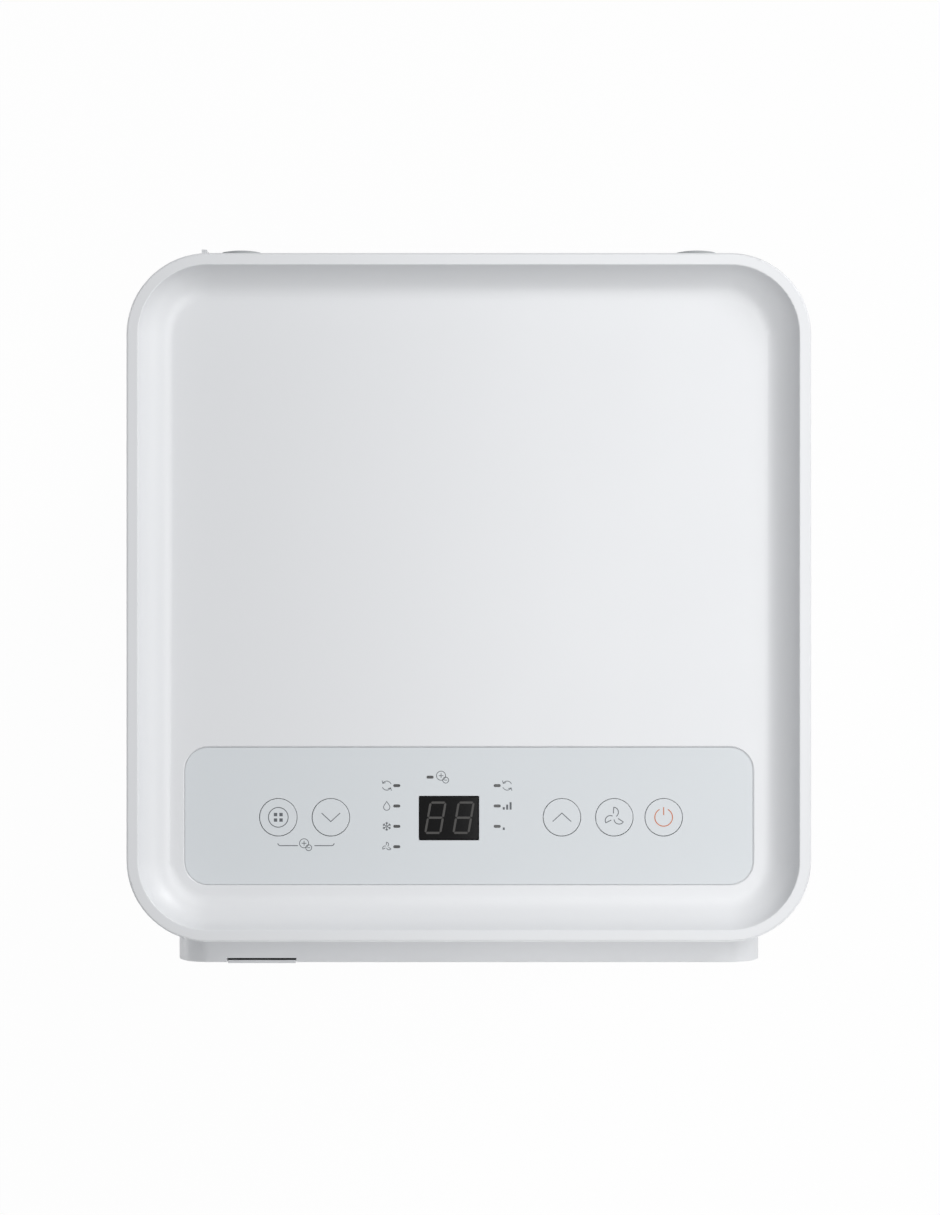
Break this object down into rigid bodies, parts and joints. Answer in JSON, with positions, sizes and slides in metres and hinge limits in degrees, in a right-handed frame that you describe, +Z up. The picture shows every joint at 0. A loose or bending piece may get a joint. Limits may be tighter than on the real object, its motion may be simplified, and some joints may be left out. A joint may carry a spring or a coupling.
{
  "type": "portable dehumidifier tower",
  "caption": "Portable cooling and dehumidifying floor tower: dished top with a control panel, swing louver in a proud front panel, rear intakes, hose collar and swivel casters.",
  "frame": {"origin": "middle of the footprint, on the floor", "axes": "+Z up, -Y towards the front panel, +X to the right seen from the front"},
  "size_m": [0.345, 0.3738, 0.703],
  "materials": {
    "shell_white": "moulded ABS with a fine satin grain",
    "overlay_grey": "printed film, satin pale grey",
    "cap_grey": "printed film over a moulded cap",
    "display_black": "smoked acrylic",
    "lamp_dark": "smoked light pipe, unlit",
    "window_grey": "polished pale plastic",
    "vent_grey": "moulded ABS, pale grey",
    "filter_mesh": "nylon mesh in a moulded frame",
    "soft_rubber": "moulded rubber, grey",
    "zinc_steel": "zinc-plated steel",
    "caster_nylon": "moulded black nylon",
    "caster_tread": "moulded dark grey plastic",
    "circuit_board": "solder mask green",
    "black_paint": "black enamel on steel",
    "fin_aluminium": "bare aluminium fins",
    "copper_pipe": "drawn copper",
    "inner_plastic": "moulded plastic, grey"
  },
  "bodies": {
    "cabinet": {"top_cover": "shell_white", "front_cabinet": "shell_white", "left_side_panel": "shell_white", "right_side_panel": "shell_white", "rear_cabinet": "shell_white", "front_panel": "shell_white", "base_tray": "shell_white", "control_overlay": "overlay_grey", "display_window": "display_black", "indicator_lenses": "lamp_dark", "receiver_window": "window_grey", "outlet_duct": "vent_grey", "hose_collar": "vent_grey", "left_grip_cup": "vent_grey", "right_grip_cup": "vent_grey", "wall_bumpers": "soft_rubber", "cord_gland": "soft_rubber", "compressor_grommets": "soft_rubber", "cabinet_screws": "zinc_steel", "compressor_studs": "zinc_steel", "upper_blower_motor": "zinc_steel", "lower_blower_motor": "zinc_steel", "control_board": "circuit_board", "compressor": "black_paint", "evaporator_coil": "fin_aluminium", "condenser_coil": "fin_aluminium", "refrigerant_pipes": "copper_pipe", "drain_pan": "inner_plastic", "upper_blower_scroll": "inner_plastic", "lower_blower_scroll": "inner_plastic", "electrical_box": "inner_plastic"},
    "button_mode": {"button_mode": "cap_grey"},
    "button_down": {"button_down": "cap_grey"},
    "button_up": {"button_up": "cap_grey"},
    "button_fan": {"button_fan": "cap_grey"},
    "button_power": {"button_power": "cap_grey"},
    "louver": {"louver_blade": "shell_white"},
    "vane_1": {"vane_1": "vent_grey"},
    "vane_2": {"vane_2": "vent_grey"},
    "vane_3": {"vane_3": "vent_grey"},
    "vane_4": {"vane_4": "vent_grey"},
    "vane_5": {"vane_5": "vent_grey"},
    "link_bar": {"vane_link": "vent_grey"},
    "upper_cassette": {"upper_intake_grille": "vent_grey", "upper_filter": "filter_mesh"},
    "upper_drain_stopper": {"upper_drain_plug": "soft_rubber"},
    "lower_cassette": {"lower_intake_grille": "vent_grey", "lower_filter": "filter_mesh"},
    "lower_drain_stopper": {"lower_drain_plug": "soft_rubber"},
    "upper_blower": {"upper_blower_wheel": "inner_plastic"},
    "lower_blower": {"lower_blower_wheel": "inner_plastic"},
    "float": {"water_float": "inner_plastic"},
    "caster_front_left": {"caster_fork_front_left": "caster_nylon"},
    "wheel_front_left": {"caster_wheel_front_left": "caster_tread"},
    "caster_front_right": {"caster_fork_front_right": "caster_nylon"},
    "wheel_front_right": {"caster_wheel_front_right": "caster_tread"},
    "caster_rear_left": {"caster_fork_rear_left": "caster_nylon"},
    "wheel_rear_left": {"caster_wheel_rear_left": "caster_tread"},
    "caster_rear_right": {"caster_fork_rear_right": "caster_nylon"},
    "wheel_rear_right": {"caster_wheel_rear_right": "caster_tread"}
  },
  "joints": [
    {"name": "button_mode_press", "type": "slide", "parent": "cabinet", "child": "button_mode", "axis": [0, 0, -1], "range_m": [0, 0.0006], "stiffness_N_per_m": 600},
    {"name": "button_down_press", "type": "slide", "parent": "cabinet", "child": "button_down", "axis": [0, 0, -1], "range_m": [0, 0.0006], "stiffness_N_per_m": 600},
    {"name": "button_up_press", "type": "slide", "parent": "cabinet", "child": "button_up", "axis": [0, 0, -1], "range_m": [0, 0.0006], "stiffness_N_per_m": 600},
    {"name": "button_fan_press", "type": "slide", "parent": "cabinet", "child": "button_fan", "axis": [0, 0, -1], "range_m": [0, 0.0006], "stiffness_N_per_m": 600},
    {"name": "button_power_press", "type": "slide", "parent": "cabinet", "child": "button_power", "axis": [0, 0, -1], "range_m": [0, 0.0006], "stiffness_N_per_m": 600},
    {"name": "louver_swing", "type": "hinge", "parent": "cabinet", "child": "louver", "pos_m": [0, -0.184, 0.5761], "axis": [1, 0, 0], "range_deg": [0, 75]},
    {"name": "vane_1_turn", "type": "hinge", "parent": "cabinet", "child": "vane_1", "pos_m": [-0.092, -0.1447, 0.607], "axis": [0, 0, 1], "range_deg": [-35, 35]},
    {"name": "vane_2_turn", "type": "hinge", "parent": "cabinet", "child": "vane_2", "pos_m": [-0.046, -0.1447, 0.607], "axis": [0, 0, 1], "range_deg": [-35, 35]},
    {"name": "vane_3_turn", "type": "hinge", "parent": "cabinet", "child": "vane_3", "pos_m": [0, -0.1447, 0.607], "axis": [0, 0, 1], "range_deg": [-35, 35]},
    {"name": "vane_4_turn", "type": "hinge", "parent": "cabinet", "child": "vane_4", "pos_m": [0.046, -0.1447, 0.607], "axis": [0, 0, 1], "range_deg": [-35, 35]},
    {"name": "vane_5_turn", "type": "hinge", "parent": "cabinet", "child": "vane_5", "pos_m": [0.092, -0.1447, 0.607], "axis": [0, 0, 1], "range_deg": [-35, 35]},
    {"name": "vane_link_shift", "type": "slide", "parent": "cabinet", "child": "link_bar", "axis": [-1, 0, 0], "range_m": [-0.0059, 0.0059]},
    {"name": "upper_cassette_pull", "type": "slide", "parent": "cabinet", "child": "upper_cassette", "axis": [0, 1, 0], "range_m": [0, 0.06]},
    {"name": "upper_drain_plug_pull", "type": "slide", "parent": "cabinet", "child": "upper_drain_stopper", "axis": [0, 1, 0], "range_m": [0, 0.025]},
    {"name": "lower_cassette_pull", "type": "slide", "parent": "cabinet", "child": "lower_cassette", "axis": [0, 1, 0], "range_m": [0, 0.06]},
    {"name": "lower_drain_plug_pull", "type": "slide", "parent": "cabinet", "child": "lower_drain_stopper", "axis": [0, 1, 0], "range_m": [0, 0.025]},
    {"name": "upper_blower_spin", "type": "hinge", "parent": "cabinet", "child": "upper_blower", "pos_m": [0, 0.0038, 0.492], "axis": [0, 1, 0], "continuous": true},
    {"name": "lower_blower_spin", "type": "hinge", "parent": "cabinet", "child": "lower_blower", "pos_m": [0.045, 0.0038, 0.165], "axis": [0, 1, 0], "continuous": true},
    {"name": "float_lift", "type": "hinge", "parent": "cabinet", "child": "float", "pos_m": [0.105, -0.0762, 0.063], "axis": [-1, 0, 0], "range_deg": [0, 25]},
    {"name": "caster_front_left_swivel", "type": "hinge", "parent": "cabinet", "child": "caster_front_left", "pos_m": [-0.13, -0.1282, 0.044], "axis": [0, 0, 1], "continuous": true},
    {"name": "wheel_front_left_roll", "type": "hinge", "parent": "caster_front_left", "child": "wheel_front_left", "pos_m": [-0.13, -0.1162, 0.018], "axis": [1, 0, 0], "continuous": true},
    {"name": "caster_front_right_swivel", "type": "hinge", "parent": "cabinet", "child": "caster_front_right", "pos_m": [0.13, -0.1282, 0.044], "axis": [0, 0, 1], "continuous": true},
    {"name": "wheel_front_right_roll", "type": "hinge", "parent": "caster_front_right", "child": "wheel_front_right", "pos_m": [0.13, -0.1162, 0.018], "axis": [1, 0, 0], "continuous": true},
    {"name": "caster_rear_left_swivel", "type": "hinge", "parent": "cabinet", "child": "caster_rear_left", "pos_m": [-0.13, 0.1358, 0.044], "axis": [0, 0, 1], "continuous": true},
    {"name": "wheel_rear_left_roll", "type": "hinge", "parent": "caster_rear_left", "child": "wheel_rear_left", "pos_m": [-0.13, 0.1478, 0.018], "axis": [1, 0, 0], "continuous": true},
    {"name": "caster_rear_right_swivel", "type": "hinge", "parent": "cabinet", "child": "caster_rear_right", "pos_m": [0.13, 0.1358, 0.044], "axis": [0, 0, 1], "continuous": true},
    {"name": "wheel_rear_right_roll", "type": "hinge", "parent": "caster_rear_right", "child": "wheel_rear_right", "pos_m": [0.13, 0.1478, 0.018], "axis": [1, 0, 0], "continuous": true}
  ],
  "couplings": [
    {"joint": "vane_2_turn", "follows": "vane_1_turn", "ratio": 1},
    {"joint": "vane_3_turn", "follows": "vane_1_turn", "ratio": 1},
    {"joint": "vane_4_turn", "follows": "vane_1_turn", "ratio": 1},
    {"joint": "vane_5_turn", "follows": "vane_1_turn", "ratio": 1},
    {"joint": "vane_link_shift", "follows": "vane_1_turn", "m_per_rad": 0.0093896}
  ]
}
